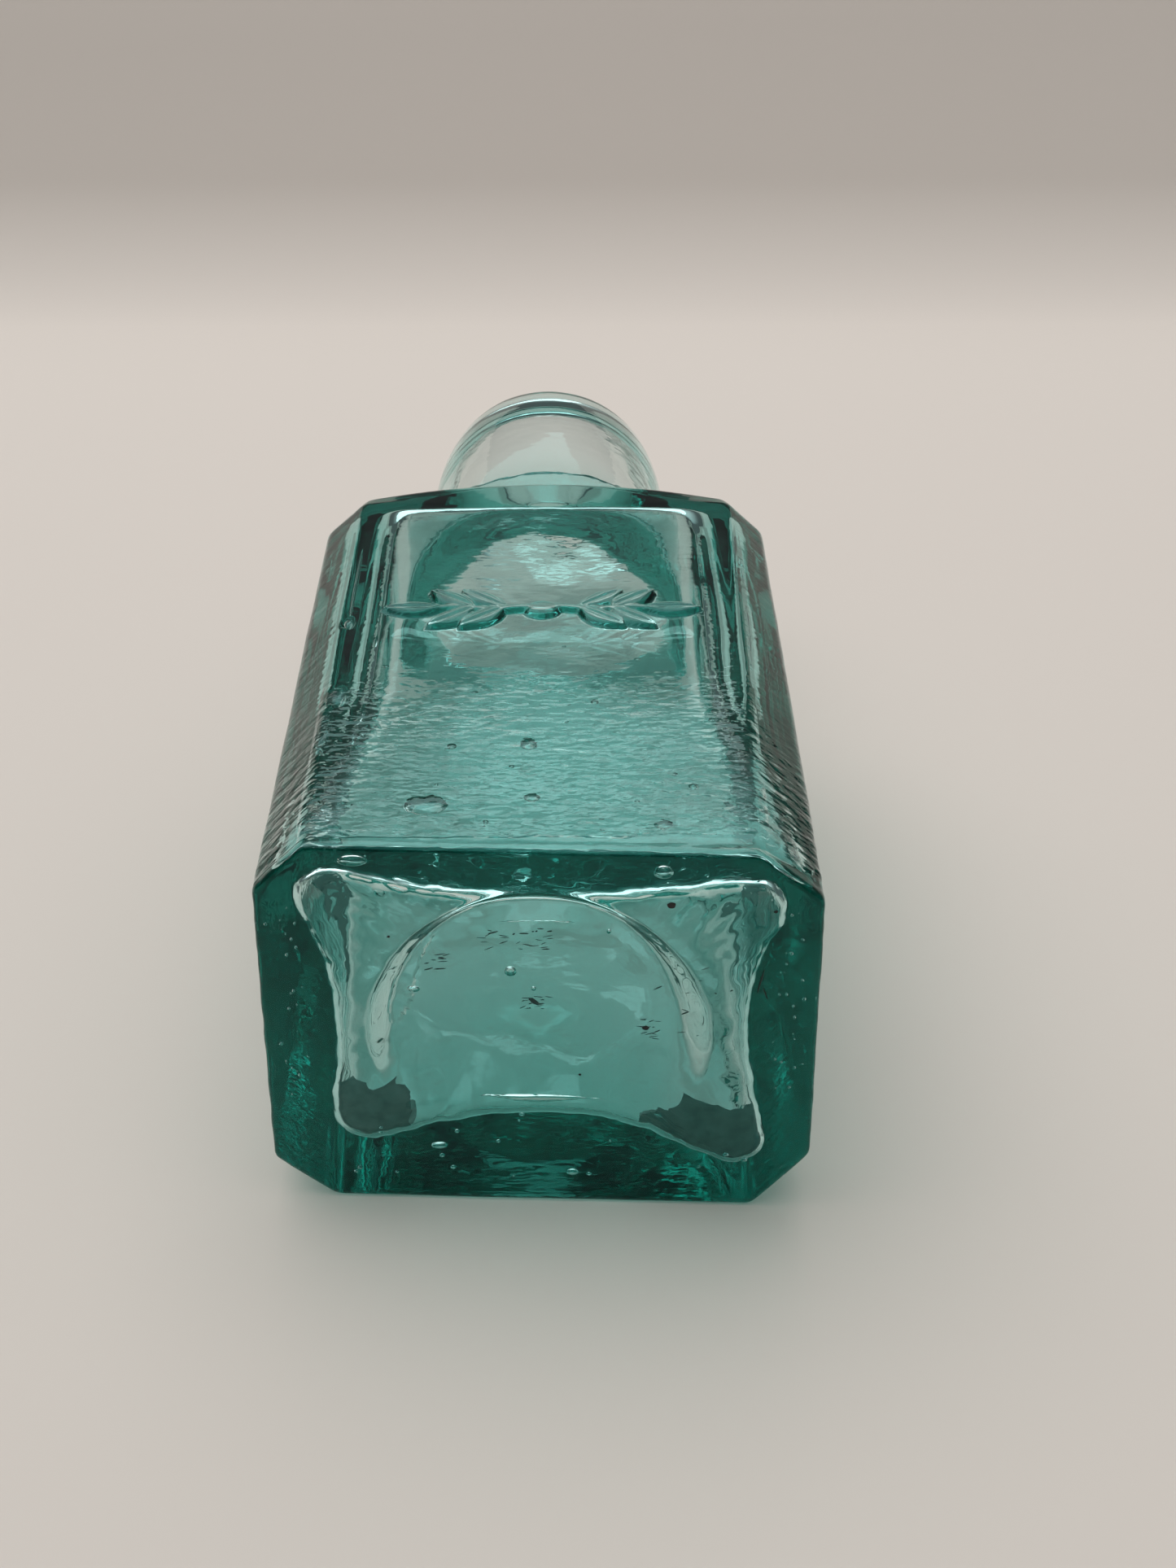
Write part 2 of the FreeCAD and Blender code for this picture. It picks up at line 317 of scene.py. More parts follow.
def bottleRings():
    # every ring of the cage, from the middle of the base round the lip to the cavity's floor
    b = bottle
    rings = []

    def ring(outline, y):
        rings.append([(x, y(x, z) if callable(y) else y, z) for x, z in outline])

    # the recess and the base's rim
    low = b["recessLowered"]
    recess = b["recessRadius"]
    for outwards, share, pull in b["recessRings"]:
        outline = drawnIn(circle(recess + outwards, low), pull)
        ring(outline, lambda x, z, share=share: heelAt(x) + share * recessAt(x, z))
    out, inset, share = b["rimRing"]
    rim = mix(circle(recess + out, low), cutCornered(b["heelCuts"], inset), share)
    ring(rim, lambda x, z: heelAt(x))
    ring(cutCornered(b["heelCuts"], b["arris"]), lambda x, z: heelAt(x))
    ring(cutCornered(b["heelCuts"]), lambda x, z: heelAt(x))

    # the body's flat sides, then the shoulder's lean up to its arched edge
    crease = b["creaseY"]
    for fromHeel in b["bodyRings"] + [crease - b["heelY"]]:
        t = fromHeel / (crease - b["heelY"])
        groove = b["seam"] if fromHeel == b["bodyRings"][1] else 0.0
        outline = mix(cutCornered(b["heelCuts"], groove), cutCornered(b["shoulderCuts"], groove), t)
        ring(outline, lambda x, z, t=t: blend(heelAt(x), crease, t))
    sides = cutCornered(b["shoulderCuts"])
    edge = cutCornered(b["shoulderCuts"], b["shoulderLean"])
    for t in b["leanRings"]:
        rings.append([
            (x, blend(crease, domeAt(*e), t), z) for (x, z), e in zip(mix(sides, edge, t), edge)
        ])

    # the shoulder's dome and the rounding at the neck's root
    root = b["neckRadius"] + b["neckRootRound"]
    for t in b["domeRings"]:
        ring(mix(edge, circle(root), t), domeAt)
    rootY = domeAt(root, 0) + b["neckRootRound"]
    for degrees in b["neckRootTurns"]:
        a = math.radians(degrees)
        ring(circle(root - b["neckRootRound"] * math.sin(a)), rootY - b["neckRootRound"] * math.cos(a))

    # the neck, drawn in to the lip, over it and down the bore
    for y, radius in b["neckRings"]:
        ring(circle(radius), y)
    for behind, radius in b["lipRings"]:
        ring(circle(radius), b["lipY"] + behind)
    for y, share in b["boreRings"]:
        ring(circle(blend(b["rootBore"], b["neckBore"], share)), y)

    # the funnel into the cavity, out to the edge of the cavity's end
    edgeY = cavityEndAt(*b["cavityEdge"])
    bore = circle(b["rootBore"])
    end = cavityOutline(edgeY, b["cavityEdgeRings"][0][0])
    for t, rise in b["funnelRings"]:
        ring(mix(bore, end, t), lambda x, z, rise=rise: cavityEndAt(x, z) + rise)
    for inset, drop in b["cavityEdgeRings"]:
        ring(cavityOutline(edgeY, inset), lambda x, z, drop=drop: cavityEndAt(x, z) - drop)

    # the cavity's walls down to the floor
    wallTop = cavityEndAt(*b["cavityCorner"]) - b["cavityEdgeRings"][-1][1]
    floorY = b["floorY"]
    for k in range(b["wallRings"]):
        y = blend(wallTop, floorY + b["wallsFromFloor"], (k + 1) / (b["wallRings"] + 1))
        ring(cavityOutline(y), y)
    ring(cavityOutline(floorY), floorY + b["floorEdgeHeight"])
    for inset, rise in b["floorEdgeRings"]:
        ring(cavityOutline(floorY, inset), lambda x, z, rise=rise: floorAt(x, z) + rise)
    middle = circle(b["floorCircle"])
    for t in b["floorRings"]:
        ring(mix(cavityOutline(floorY, b["floorInset"]), middle, t), floorAt)
    ring(middle, floorAt)
    return rings


# a surface that runs inside the glass, between its outer and its inner skin

midGlass = {
    "floorY": -52, "halfWidth": 20.4, "halfDepth": 15.8, "corners": 33, "underDome": 1.2, "neckRadius": 12.4,
}


def isInside(x, y, z):
    # whether a point of the skin, in millimetres from the axis, belongs to the hollow
    if y < midGlass["floorY"]:
        return False
    if math.hypot(x, z) < midGlass["neckRadius"]:
        return True
    x, z = abs(x), abs(z)
    across = x < midGlass["halfWidth"] and z < midGlass["halfDepth"] and x + z < midGlass["corners"]
    return across and y < domeAt(x, z) - midGlass["underDome"]


def skinPlaces(piece):
    axis = bottle["axisHeight"]
    return [(v.co.x * 1000, v.co.y * 1000, v.co.z * 1000 - axis) for v in piece.data.vertices]


# how much the cool mould rippled the skin: from the first amount to the second, between two places

rippled = {
    "baseY": -52.5, "base": (0.08, 0.25), "baseReach": (12, 16),
    "elsewhere": 0.04, "toY": 11,       # inside, and past this place
    "broadZ": 16.5, "upper": (0.06, 1.3), "lower": (0.06, 0.12), "broadFades": (-22, -38),
    "narrow": (0.22, 1.1), "narrowFades": (-30, -46),
    "patches": 0.14,                    # on the upper side, in turns per millimetre
    "patchMean": 0.95, "patchSwing": 0.9,
}


def rippleAt(x, y, z):
    if y < rippled["baseY"]:
        return blend(*rippled["base"], smoothStep(*rippled["baseReach"], math.hypot(x, z)))
    if isInside(x, y, z) or y > rippled["toY"]:
        return rippled["elsewhere"]
    if z > rippled["broadZ"]:
        still, most = rippled["upper"]
        patch = noise.noise(Vector((x * rippled["patches"], y * rippled["patches"], 3)))
        most *= rippled["patchMean"] + rippled["patchSwing"] * patch
        return blend(still, most, smoothStep(*rippled["broadFades"], y))
    if z < -rippled["broadZ"]:
        return blend(*rippled["lower"], smoothStep(*rippled["broadFades"], y))
    return blend(*rippled["narrow"], smoothStep(*rippled["narrowFades"], y))


def ripplePlaces(piece):  # kept as an attribute for the glass's bump
    amounts = [rippleAt(*place) for place in skinPlaces(piece)]
    ripple = piece.data.attributes.new("ripple", "FLOAT", "POINT")
    ripple.data.foreach_set("value", amounts)


# blown glass is never flat: waves on the skin, longer and deeper ones inside, ragged at the floor's edge

waves = {       # a swell is a height in millimetres, and its turns per millimetre along x, y and z
    "inside": [(0.22, (0.07, 0.07, 0.07)), (0.08, (0.3, 0.1, 0.3))],
    "ragged": [(0.16, (0.45, 0.45, 0.45)), (0.1, (1.1, 1.1, 1.1))],
    "raggedY": (-44, -48), "raggedReach": (9, 12),
    "skin": [(0.05, (0.12, 0.12, 0.12)), (0.02, (0.35, 0.35, 0.35))],
    "skinLevel": -0.035,
    "chilled": [(0.07, (0.7, 0.7, 0.7))],
    "chilledLevel": -0.04, "chilledY": (-36, -46), "chilledX": (20.5, 21.5),
}


def swell(kind, place):
    return sum(height * noise.noise(place * Vector(turns)) for height, turns in waves[kind])


def waveAt(x, y, z):
    place = Vector((x, y, z))
    if isInside(x, y, z):
        ragged = smoothStep(*waves["raggedY"], y) * smoothStep(*waves["raggedReach"], math.hypot(x, z))
        return swell("inside", place) + ragged * swell("ragged", place)
    wave = waves["skinLevel"] + swell("skin", place)
    chilled = smoothStep(*waves["chilledY"], y) * smoothStep(*waves["chilledX"], abs(x))
    return wave + chilled * (waves["chilledLevel"] + swell("chilled", place))


def waveGlass(piece):
    normals = [v.normal.copy() for v in piece.data.vertices]
    for v, normal, place in zip(list(piece.data.vertices), normals, skinPlaces(piece)):
        v.co += normal * waveAt(*place) * 0.001


# the raised sprig in the middle of the upper side, in millimetres

sprig = {
    "middleY": -13.5, "height": 0.58, "berry": 1.7,
    "twigLength": 8.4, "twigWidth": 1.2, "twigShare": 0.85, "twigBend": 0.25,
    "leafLength": 5.6, "leafWidth": 2.8, "leafTilt": 42.0, "leafStarts": (3.3, 6.1),
    "leafSlimness": 0.8,     # under 1 the blade is blunt, over 1 it is drawn out
    "veinDepth": 0.3, "veinHalf": 0.3,
    "overZ": 33.8,           # it lies on what is higher than this
    "area": (15.5, 5.5),     # half lengths of the area that gets more faces
    "cuts": 4,
}


def bulge(reach):  # flatter on top than a ball
    return math.sqrt(1 - reach ** 3)


def leafHeight(x, y, turn):  # 0 outside, up to 1 along the blade's middle, with a shallow vein
    a = math.radians(turn)
    along = x * math.cos(a) + y * math.sin(a)
    across = abs(y * math.cos(a) - x * math.sin(a))
    if not 0 < along < sprig["leafLength"]:
        return 0.0
    half = sprig["leafWidth"] / 2 * math.sin(math.pi * along / sprig["leafLength"]) ** sprig["leafSlimness"]
    if across >= half:
        return 0.0
    vein = sprig["veinDepth"] * (1 - smoothStep(0.0, sprig["veinHalf"], across))
    return bulge(across / half) * (1 - vein)


def sprigHeight(x, y):  # from 0 to 1
    x = abs(x)
    y = y - sprig["middleY"]
    heights = [0.0]
    reach = math.hypot(x, y) / sprig["berry"]
    if reach < 1:
        heights.append(bulge(reach))
    end = sprig["berry"] + sprig["twigLength"]
    off = math.hypot(max(0.0, x - end), y - sprig["twigBend"] * math.sin(x)) / (sprig["twigWidth"] / 2)
    if off < 1:
        heights.append(sprig["twigShare"] * bulge(off))
    for start in sprig["leafStarts"]:
        heights += [leafHeight(x - start, y, sprig["leafTilt"]), leafHeight(x - start, y, -sprig["leafTilt"])]
    heights.append(leafHeight(x - end + sprig["twigWidth"], y, 0))
    return max(heights)


def refineUnderSprig(piece):
    acrossHalf, alongHalf = sprig["area"]
    bpy.ops.object.mode_set(mode="EDIT")
    bpy.ops.mesh.select_all(action="DESELECT")
    shell = bmesh.from_edit_mesh(piece.data)
    for face in shell.faces:
        x, y, z = face.calc_center_median() * 1000
        face.select = z > sprig["overZ"] and abs(x) < acrossHalf and abs(y - sprig["middleY"]) < alongHalf
    bmesh.update_edit_mesh(piece.data)
    bpy.ops.mesh.subdivide(number_cuts=sprig["cuts"])
    bpy.ops.object.mode_set(mode="OBJECT")


def raiseSprig(piece):
    for v in piece.data.vertices:
        x, y, z = v.co * 1000
        if z > sprig["overZ"]:
            v.co.z += sprig["height"] / 1000 * sprigHeight(x, y)
    print("sprig raised:", len(piece.data.polygons), "faces")


# bubbles in the glass: place, then half lengths along x, y and z, in millimetres from the stand

bubbles = {
    "seed": 7,
    "upperSide": [
        (-8.8, -46.7, 32.4, 1.75, 1.5, 0.5), (-0.9, -37.2, 32.6, 0.7, 0.9, 0.4),
        (-0.5, -45.6, 32.5, 0.65, 0.6, 0.35), (-7.1, -37.6, 32.7, 0.4, 0.5, 0.3),
        (9.7, -49.7, 32.4, 0.75, 0.6, 0.4), (-14.0, -52.9, 32.6, 1.2, 0.5, 0.5),
        (4.6, -30.0, 32.7, 0.35, 0.4, 0.25), (12.3, -44.0, 32.6, 0.35, 0.4, 0.25),
    ],
    "leftCorner": [
        (-17.4, -6.5, 32.4, 0.18, 8.0, 0.18), (-17.3, -14.5, 32.4, 0.45, 1.4, 0.35),
        (-17.0, -28.5, 32.3, 0.8, 2.0, 0.45), (-17.5, -34.5, 32.1, 0.28, 3.8, 0.25),
    ],
    "base": [
        (9.6, -53.4, 31.9, 0.8, 0.5, 0.6), (-2.2, -51.5, 21.4, 0.5, 0.4, 0.45),
        (-9.9, -51.8, 19.8, 0.5, 0.4, 0.28), (-8.3, -52.6, 5.0, 0.7, 0.45, 0.3),
        (2.6, -52.8, 2.4, 0.55, 0.4, 0.28), (-0.4, -52.0, 20.0, 0.22, 0.2, 0.2),
        (5.5, -51.9, 25.4, 0.2, 0.2, 0.2),
    ],
    "small": (0.1, 0.26),    # half lengths of the small ones, which are scattered through these areas
    "stretch": 1.3,
    "upperWall": ((-15, 15), (-51, -18), (31.2, 33.2)),
    "lowBase": ((-17, 17), (-53.2, -51.6), (1.5, 8.0)),
    "pairs": 17,             # in both areas together
    "sideWall": ((18.8, 21.2), (-53.8, -47.0), (9.0, 27.0)),
    "sideStretch": 1.5,
    "sidePairs": 25,         # half as big, on the left and on the right
    "faces": (20, 9),        # round a large and round a small bubble
    "large": 0.39,
}


def somewhereIn(chance, area):
    return [chance.uniform(low, high) for low, high in area]


def placesOfBubbles():
    places = bubbles["upperSide"] + bubbles["leftCorner"] + bubbles["base"]
    chance = random.Random(bubbles["seed"])
    for _ in range(bubbles["pairs"]):
        for area in ("lowBase", "upperWall"):
            size = chance.uniform(*bubbles["small"])
            places.append((*somewhereIn(chance, bubbles[area]), size * bubbles["stretch"], size, size))
    for _ in range(bubbles["sidePairs"]):
        for side in (-1, 1):
            x, y, z = somewhereIn(chance, bubbles["sideWall"])
            size = chance.uniform(*bubbles["small"]) / 2
            places.append((side * x, y, z, size, size, size * bubbles["sideStretch"]))
    return places


def blowBubbles(piece):
    many, few = bubbles["faces"]
    for x, y, z, *halves in placesOfBubbles():
        around = many if max(halves) > bubbles["large"] else few
        bpy.ops.mesh.primitive_uv_sphere_add(segments=around, ring_count=around * 2 // 3, radius=0.001)
        bubble = bpy.context.object
        bubble.scale = halves
        bubble.location = (x / 1000, y / 1000, z / 1000)
        bpy.ops.object.transform_apply(location=True, rotation=False, scale=True)
        bpy.ops.object.mode_set(mode="EDIT")
        bpy.ops.mesh.select_all(action="SELECT")
        bpy.ops.mesh.normals_make_consistent(inside=True)  # the air is inside, so the skin faces inwards
        bpy.ops.object.mode_set(mode="OBJECT")
        bpy.ops.object.shade_smooth()
        bubble.select_set(True)
        piece.select_set(True)
        bpy.context.view_layer.objects.active = piece
        bpy.ops.object.join()
        bpy.ops.object.select_all(action="DESELECT")
    bpy.context.view_layer.objects.active = piece
    print("bubbles blown:", len(placesOfBubbles()))


def layRing(shell, station, places):
    for v in shell.verts:
        if v.select:
            x, y, z = places[v[station]]
            v.co = (x, y, z + bottle["axisHeight"])


def closeWithGrid(piece, firstRing):
    # closes an open ring with an even grid of faces
    bpy.ops.mesh.select_all(action="DESELECT")
    shell = bmesh.from_edit_mesh(piece.data)
    shell.verts.ensure_lookup_table()
    for index in firstRing:
        shell.verts[index].select = True
    shell.select_flush(True)
    bmesh.update_edit_mesh(piece.data)
    bpy.ops.mesh.fill_grid(span=bottle["stations"] // 4, offset=bottle["stations"] // 8)


def buildBottle():
    rings = bottleRings()
    bpy.ops.mesh.primitive_circle_add(vertices=bottle["stations"], radius=10, fill_type="NOTHING")
    piece = nameIt("bottleGlass")
    bpy.ops.object.mode_set(mode="EDIT")
    bpy.ops.mesh.select_all(action="SELECT")
    shell = bmesh.from_edit_mesh(piece.data)
    station = shell.verts.layers.int.new("station")
    shell.verts.ensure_lookup_table()
    for i, v in enumerate(shell.verts):
        v[station] = i
    layRing(shell, station, rings[0])
    bmesh.update_edit_mesh(piece.data)
    for places in rings[1:]:
        bpy.ops.mesh.extrude_edges_move()
        shell = bmesh.from_edit_mesh(piece.data)
        layRing(shell, shell.verts.layers.int["station"], places)
        bmesh.update_edit_mesh(piece.data)
    lastRing = [v.index for v in shell.verts if v.select]
    closeWithGrid(piece, range(bottle["stations"]))
    closeWithGrid(piece, lastRing)
    shell = bmesh.from_edit_mesh(piece.data)
    for v in shell.verts:  # the new floor's points go up to the crown
        fromAxis = math.hypot(v.co.x, v.co.z - bottle["axisHeight"])
        if abs(v.co.y - bottle["floorY"]) < 1 and fromAxis < bottle["floorCircle"] - 0.1:
            v.co.y = floorAt(v.co.x, v.co.z - bottle["axisHeight"])
    bmesh.update_edit_mesh(piece.data)
    bpy.ops.mesh.select_all(action="SELECT")
    bpy.ops.mesh.normals_make_consistent(inside=False)
    bpy.ops.object.mode_set(mode="OBJECT")
    smooth = piece.modifiers.new("smooth", "SUBSURF")
    smooth.levels = bottle["subdivisions"]
    smooth.render_levels = bottle["subdivisions"]
    bpy.ops.object.modifier_apply(modifier=smooth.name)
    piece.scale = (0.001, 0.001, 0.001)
    bpy.ops.object.transform_apply(location=False, rotation=False, scale=True)
    bpy.ops.object.shade_smooth()
    print("bottle's wall made:", len(piece.data.polygons), "faces")
    refineUnderSprig(piece)
    ripplePlaces(piece)
    waveGlass(piece)
    raiseSprig(piece)
    return piece


bottleGlass = buildBottle()


# what has dried in the bottle, with painted shade: a dark film in the floor's two lower corners, which is
# dried ink and also painted shade of the thick base over them, and thin dust on the side walls

residue = {
    "right": (7.6, 13.0, -7.9),     # the film begins, has its full height from here on, and its top
    "left": (10.2, 16.0, -5.4),
    "slope": 0.35,                  # it gets lower towards the middle
    "ragged": (1.3, 0.8),           # how far its edge wanders, in long and in short turns
    "alongWall": 3.0,               # how far it reaches along the lower wall
    "lift": 0.04,
    "crust": (13.6, -14.1),         # a thick dark rest lies to the right of the first and below the second
    "crustRagged": 0.5,
    "dustY": (-47.0, -12.0),        # thin dust on the side walls lies between these, in streaks
    "dustZ": (-6.0, 12.0),
    "dustX": 12.0,                  # and further out than this
    "dustFades": (6.0, 12.0, 5.0),  # over these lengths: from the floor, from the neck and from below
    "dustLeast": 0.4,               # a streak is dusty over this, or less where the dust is full
    "dustMore": 0.75,
    "edgeRounds": 16,               # how often the edges are smoothed
}


def inFilm(x, y, z):
    start, full, top = residue["right"] if x > 0 else residue["left"]
    if not isInside(x, y, z) or abs(x) < start:
        return False
    long, short = residue["ragged"]
    ragged = long * noise.noise(Vector((x * 0.4, z * 0.2, 5)))
    ragged += short * noise.noise(Vector((x * 1.1, 0, z * 1.1)))
    height = top - residue["slope"] * max(0.0, full - abs(x)) + ragged
    return z < height and y - floorAt(x, z) < residue["alongWall"]


def inDust(x, y, z):
    low, high = residue["dustY"]
    lower, upper = residue["dustZ"]
    if not (isInside(x, y, z) and abs(x) > residue["dustX"] and low < y < high and lower < z < upper):
        return False
    byFloor, byNeck, below = residue["dustFades"]
    full = min(smoothStep(low, low + byFloor, y), smoothStep(high, high - byNeck, y))
    full = min(full, smoothStep(lower, lower + below, z))
    streak = noise.noise(Vector((x, y * 0.12 + z * 0.3, z * 0.9)))
    streak += 0.5 * noise.noise(Vector((x, y * 0.5, z * 2)))
    return streak > residue["dustLeast"] - residue["dustMore"] * full


def inCrust(x, z):
    fromX, top = residue["crust"]
    return x > fromX and z < top + residue["crustRagged"] * noise.noise(Vector((x * 1.5, 0, 2)))


def buildFilm(glass):
    # the film's dark colour is painted shade of the thick base over the floor's lower corners, as well as
    # dried ink
    # the film starts as a copy of the glass's own faces there, lifted off a hair
    bpy.context.view_layer.objects.active = glass
    glass.select_set(True)
    bpy.ops.object.mode_set(mode="EDIT")
    bpy.ops.mesh.select_all(action="DESELECT")
    shell = bmesh.from_edit_mesh(glass.data)
    for face in shell.faces:
        x, y, z = face.calc_center_median() * 1000
        place = (x, y, z - bottle["axisHeight"])
        face.select = inFilm(*place) or inDust(*place)
    bmesh.update_edit_mesh(glass.data)
    bpy.ops.mesh.duplicate()
    bpy.ops.transform.shrink_fatten(value=residue["lift"] / 1000)
    bpy.ops.mesh.separate(type="SELECTED")
    bpy.ops.object.mode_set(mode="OBJECT")
    glass.select_set(False)
    film = bpy.context.selected_objects[0]
    bpy.context.view_layer.objects.active = film
    nameIt("inkFilmAndPaintedShade")
    bpy.ops.object.mode_set(mode="EDIT")
    bpy.ops.mesh.select_all(action="DESELECT")
    bpy.ops.mesh.select_non_manifold()
    bpy.ops.mesh.vertices_smooth(factor=0.5, repeat=residue["edgeRounds"])  # its edges dried round
    bpy.ops.object.mode_set(mode="OBJECT")
    # faces that are neither crust nor dust keep the first material: painted shade and dried ink
    for face in film.data.polygons:
        x, y, z = face.center * 1000
        z = z - bottle["axisHeight"]
        if inCrust(x, z):
            face.material_index = 1  # driedInk
        elif y - floorAt(x, z) > residue["alongWall"] + residue["lift"]:
            face.material_index = 2  # thinDust
    print("film laid:", len(film.data.polygons), "faces")
    return film


# dirt on the outside of the base, in millimetres from the axis

dirt = {
    "specks": [         # place, half lengths across and up, turn in degrees
        (10.2, 12.4, 0.34, 0.28, 20), (-0.4, 2.1, 0.5, 0.2, 35), (8.4, -0.2, 0.3, 0.22, 0),
        (18.1, 12.0, 0.15, 0.15, 0), (17.2, 5.6, 0.06, 1.1, 12), (17.6, 4.4, 0.05, 0.6, -20),
        (-11.5, 9.0, 0.12, 0.1, 0), (3.2, -4.5, 0.1, 0.1, 0),
    ],
    "rubs": [           # middle, half lengths of the area, number of marks
        (-1.8, 8.0, 2.8, 1.0, 26), (-8.0, 5.4, 0.8, 1.0, 10), (-0.2, 2.0, 1.1, 0.6, 14),
        (8.6, -0.3, 0.9, 0.9, 14), (12.0, 3.0, 3.0, 4.0, 12),
    ],
    "rubLong": (0.1, 0.45),     # half lengths and turn of a rubbed mark
    "rubHigh": (0.02, 0.06),
    "rubTurn": (-35, 15),
    "thickness": 0.03,
    "stand": 0.03,      # above the glass
    "lumps": 0.5,       # how uneven a mark's outline is, and its turns per millimetre
    "lumpTurns": 1.5,
    "seed": 5,
}


def baseAt(x, z):
    if math.hypot(x, z + bottle["recessLowered"]) < bottle["recessRadius"]:
        return heelAt(x) + recessAt(x, z)
    return heelAt(x)


def layMark(place, halves, turns):  # a flat lump, thin along the glass's normal
    bpy.ops.mesh.primitive_ico_sphere_add(subdivisions=2, radius=0.001)
    mark = bpy.context.object
    for v in mark.data.vertices:
        v.co *= 1 + dirt["lumps"] * noise.noise(v.co * (1000 * dirt["lumpTurns"]) + Vector(place))
    mark.scale = halves
    mark.rotation_euler = [math.radians(turn) for turn in turns]
    mark.location = (place[0] / 1000, place[1] / 1000, (place[2] + bottle["axisHeight"]) / 1000)
    bpy.ops.object.transform_apply()
    return mark


def markOnBase(x, z, across, up, turn):
    return (x, baseAt(x, z) - dirt["stand"], z), (across, dirt["thickness"], up), (0, turn, 0)


def buildDirt(name, marks):
    pieces = [layMark(*mark) for mark in marks]
    for piece in pieces:
        piece.select_set(True)
    bpy.context.view_layer.objects.active = pieces[0]
    bpy.ops.object.join()
    bpy.ops.object.shade_smooth()
    return nameIt(name)


def rubMarks():
    chance = random.Random(dirt["seed"])
    marks = []
    for x, z, across, up, count in dirt["rubs"]:
        for _ in range(count):
            at = (x + across * chance.uniform(-1, 1), z + up * chance.uniform(-1, 1))
            size = (chance.uniform(*dirt["rubLong"]), chance.uniform(*dirt["rubHigh"]))
            marks.append(markOnBase(*at, *size, chance.uniform(*dirt["rubTurn"])))
    return marks


objectMode()
inkFilmAndPaintedShade = buildFilm(bottleGlass)
objectMode()
specksOfInk = buildDirt("specksOfInk", [markOnBase(*speck) for speck in dirt["specks"]])
objectMode()
rubbedDirt = buildDirt("rubbedDirt", rubMarks())
print("dirt laid")
objectMode()
blowBubbles(bottleGlass)


# materials

def glassMaterial():
    # soda-lime glass tinted by iron, blown and fire polished: clear and wet-looking, deep teal where thick
    material, tree = newMaterial("blownIronTintedGlass")
    place = addNode(tree, "ShaderNodeTexCoord").outputs["Object"]
    # ripples from the cool iron mould, where the attribute calls for them: 1.7 mm along x, 1 mm along y
    across = addNode(tree, "ShaderNodeMapping", {"Scale": (580, 1000, 600)}, {"Vector": place})
    mouldRipple = addNode(tree, "ShaderNodeTexNoise", {"Scale": 1.0, "Detail": 1.5}, {
        "Vector": across.outputs["Vector"],
    })
    amount = addNode(tree, "ShaderNodeAttribute", {"attribute_name": "ripple"})
    placed = addNode(tree, "ShaderNodeMath", {"operation": "MULTIPLY"})
    tree.links.new(mouldRipple.outputs[0], placed.inputs[0])
    tree.links.new(amount.outputs["Fac"], placed.inputs[1])
    # a faint unevenness of 4 mm everywhere
    soft = addNode(tree, "ShaderNodeTexNoise", {"Scale": 250.0, "Detail": 1.0}, {"Vector": place})
    height = addNode(tree, "ShaderNodeMath", {"operation": "MULTIPLY_ADD"})
    tree.links.new(soft.outputs[0], height.inputs[0])
    height.inputs[1].default_value = 0.18
    tree.links.new(placed.outputs[0], height.inputs[2])
    ripples = addNode(tree, "ShaderNodeBump", {"Distance": 0.0002}, {"Height": height.outputs[0]})
    shader = addNode(tree, "ShaderNodeBsdfPrincipled", {
        "Base Color": (1, 1, 1, 1), "Roughness": 0.015, "IOR": 1.52, "Transmission Weight": 1.0,
        "Specular Tint": (0.3, 0.92, 0.89, 1),
    }, {"Normal": ripples.outputs["Normal"]})
    depth = addNode(tree, "ShaderNodeVolumeAbsorption", {"Color": (0.14, 0.72, 0.68, 1), "Density": 100.0})
    letLightPast = addNode(tree, "ShaderNodeBsdfTransparent", {"Color": (0.7, 0.695, 0.695, 1)})
    ray = addNode(tree, "ShaderNodeLightPath")
    surface = addNode(tree, "ShaderNodeMixShader")  # lamps reach the floor below, as through real glass
    tree.links.new(ray.outputs["Is Shadow Ray"], surface.inputs[0])
    tree.links.new(shader.outputs["BSDF"], surface.inputs[1])
    tree.links.new(letLightPast.outputs["BSDF"], surface.inputs[2])
    addNode(tree, "ShaderNodeOutputMaterial", None, {
        "Surface": surface.outputs["Shader"], "Volume": depth.outputs["Volume"],
    })
    return material


def shadeAndInkFilmMaterial():
    # painted shade of the thick base, dried ink and dust: a dull grey-green skin, mottled where it is thinner
    material, tree = newMaterial("paintedShadeInkAndDust")
    place = addNode(tree, "ShaderNodeTexCoord").outputs["Object"]
    mottle = addNode(tree, "ShaderNodeTexNoise", {"Scale": 900.0, "Detail": 3.0}, {"Vector": place})
    tones = addNode(tree, "ShaderNodeValToRGB", None, {"Fac": mottle.outputs[0]})
    tones.color_ramp.elements[0].position = 0.3
    tones.color_ramp.elements[0].color = hexColour("#3e554d")
    tones.color_ramp.elements[1].position = 0.7
    tones.color_ramp.elements[1].color = hexColour("#587069")
    shader = addNode(tree, "ShaderNodeBsdfPrincipled", {"Roughness": 0.85}, {
        "Base Color": tones.outputs["Color"],
    })
    addNode(tree, "ShaderNodeOutputMaterial", None, {"Surface": shader.outputs["BSDF"]})
    return material


def plainMaterial(name, colour, roughness):
    material, tree = newMaterial(name)
    shader = addNode(tree, "ShaderNodeBsdfPrincipled", {
        "Base Color": hexColour(colour), "Roughness": roughness,
    })
    addNode(tree, "ShaderNodeOutputMaterial", None, {"Surface": shader.outputs["BSDF"]})
    return material


driedInk = plainMaterial("driedInk", "#1c1b19", 0.6)      # ink dried thick: nearly black, with a dull shine
thinDust = plainMaterial("thinDust", "#42625a", 0.9)      # dust on the walls: dull and greenish
dustyDirt = plainMaterial("dustyDirt", "#3a4742", 0.9)    # dirt rubbed into fine scratches: dull and grey
bottleGlass.data.materials.append(glassMaterial())
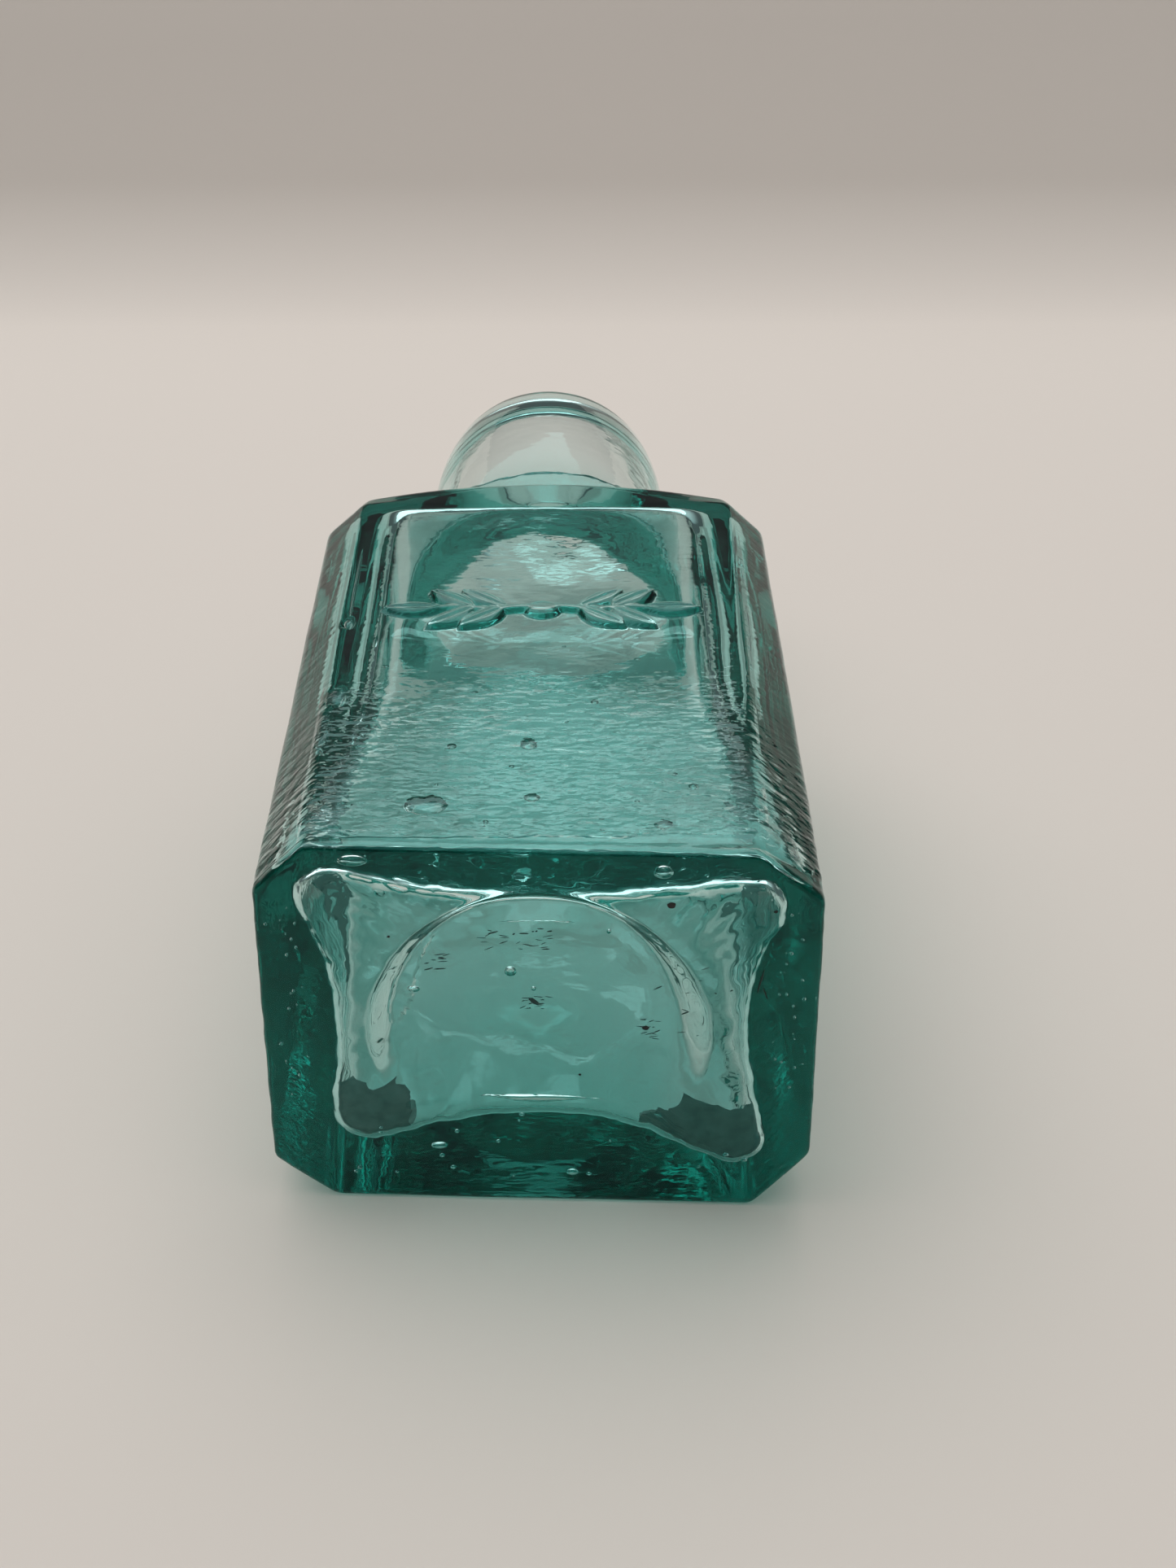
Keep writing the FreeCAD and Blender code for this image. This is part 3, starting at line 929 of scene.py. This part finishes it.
# the film's first material is painted shade as well as dried ink
for material in (shadeAndInkFilmMaterial(), driedInk, thinDust):
    inkFilmAndPaintedShade.data.materials.append(material)
specksOfInk.data.materials.append(driedInk)
rubbedDirt.data.materials.append(dustyDirt)
for piece in (bottleGlass, inkFilmAndPaintedShade, specksOfInk, rubbedDirt):
    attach(piece, "root")
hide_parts("bottle")


# floor and backdrop: one sheet of pale paper that bends up behind the bottle

stage = {
    "front": -0.9, "halfWidth": 0.9, "bendY": 0.165, "bendRadius": 0.035, "sweep": 58, "bendSteps": 24,
    "wall": 0.05,
}


def buildPaper():
    bpy.ops.mesh.primitive_plane_add(size=1)
    paper = nameIt("paperSweep")
    bpy.ops.object.mode_set(mode="EDIT")
    shell = bmesh.from_edit_mesh(paper.data)
    for v in shell.verts:
        v.co.x = math.copysign(stage["halfWidth"], v.co.x)
        v.co.y = stage["bendY"] if v.co.y > 0 else stage["front"]
        v.select = v.co.y > 0
    shell.select_flush(True)
    bmesh.update_edit_mesh(paper.data)
    radius = stage["bendRadius"]
    sweep = math.radians(stage["sweep"])
    for i in range(stage["bendSteps"]):
        before = sweep * i / stage["bendSteps"]
        a = sweep * (i + 1) / stage["bendSteps"]
        move = (0, radius * (math.sin(a) - math.sin(before)), radius * (math.cos(before) - math.cos(a)))
        bpy.ops.mesh.extrude_edges_move()
        bpy.ops.transform.translate(value=move)
    bpy.ops.mesh.extrude_edges_move()
    bpy.ops.transform.translate(value=(0, stage["wall"] * math.cos(sweep), stage["wall"] * math.sin(sweep)))
    bpy.ops.mesh.select_all(action="SELECT")
    bpy.ops.mesh.normals_make_consistent(inside=False)
    bpy.ops.object.mode_set(mode="OBJECT")
    bpy.ops.object.shade_smooth()
    # uncoated card: its shadows stay soft and nothing mirrors in it
    paper.data.materials.append(plainMaterial("mattPaper", "#d3cbc3", 0.9))
    return paper


objectMode()
paperSweep = buildPaper()


# light

def addLamp(name, size, watts, at, towards):
    data = bpy.data.lights.new(name, "AREA")
    data.shape = "RECTANGLE"
    data.size, data.size_y = size
    data.energy = watts
    lamp = bpy.data.objects.new(name, data)
    bpy.context.scene.collection.objects.link(lamp)
    lamp.location = at
    lamp.rotation_euler = (Vector(towards) - Vector(at)).to_track_quat("-Z", "Y").to_euler()


addLamp("softboxBehind", size=(1.3, 0.9), watts=5.1, at=(-0.22, 0.35, 0.8), towards=(0.0, 0.0, 0.0))
world = bpy.data.worlds.new("studio")
bpy.context.scene.world = world
world.use_nodes = True
world.node_tree.nodes.clear()
studio = world.node_tree
around = addNode(studio, "ShaderNodeTexCoord")
direction = addNode(studio, "ShaderNodeSeparateXYZ", None, {"Vector": around.outputs["Generated"]})
# a pale ceiling over dim walls, so that low reflections in the glass stay dark
glow = addNode(studio, "ShaderNodeMapRange", {
    "interpolation_type": "SMOOTHSTEP", "From Min": 0.3, "From Max": 0.85, "To Min": 0.1, "To Max": 0.8,
}, {"Value": direction.outputs["Z"]})
sky = addNode(studio, "ShaderNodeBackground", {"Color": (1, 1, 1, 1)}, {"Strength": glow.outputs["Result"]})
addNode(studio, "ShaderNodeOutputWorld", None, {"Surface": sky.outputs["Background"]})

scene = bpy.context.scene
scene.view_settings.view_transform = "Standard"
scene.cycles.max_bounces = 28
scene.cycles.transmission_bounces = 24
scene.cycles.glossy_bounces = 14
scene.cycles.diffuse_bounces = 4
